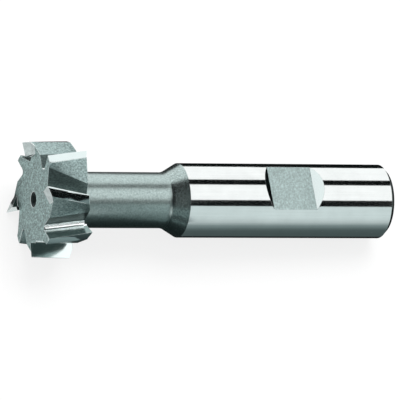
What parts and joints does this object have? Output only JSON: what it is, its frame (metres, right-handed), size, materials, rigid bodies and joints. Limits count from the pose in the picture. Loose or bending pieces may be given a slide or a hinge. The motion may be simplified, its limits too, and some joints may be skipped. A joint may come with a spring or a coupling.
{
  "type": "T-slot milling cutter",
  "caption": "Shank milling cutter for T-slots: staggered-tooth disc head, slim neck, cone shoulder and a parallel shank with a clamping flat.",
  "frame": {"origin": "on the tool's axis, under the middle of the clamping flat, where the holder's screw points", "axes": "+X along the tool's axis from the teeth to the shank's end, +Z out of the clamping flat, +Y completes a right-handed frame"},
  "size_m": [0.0825, 0.0244, 0.0244],
  "materials": {
    "tool_steel": "ground bright shank, satin neck, milled and ground teeth"
  },
  "bodies": {
    "root": {"t_slot_cutter": "tool_steel"}
  },
  "joints": []
}
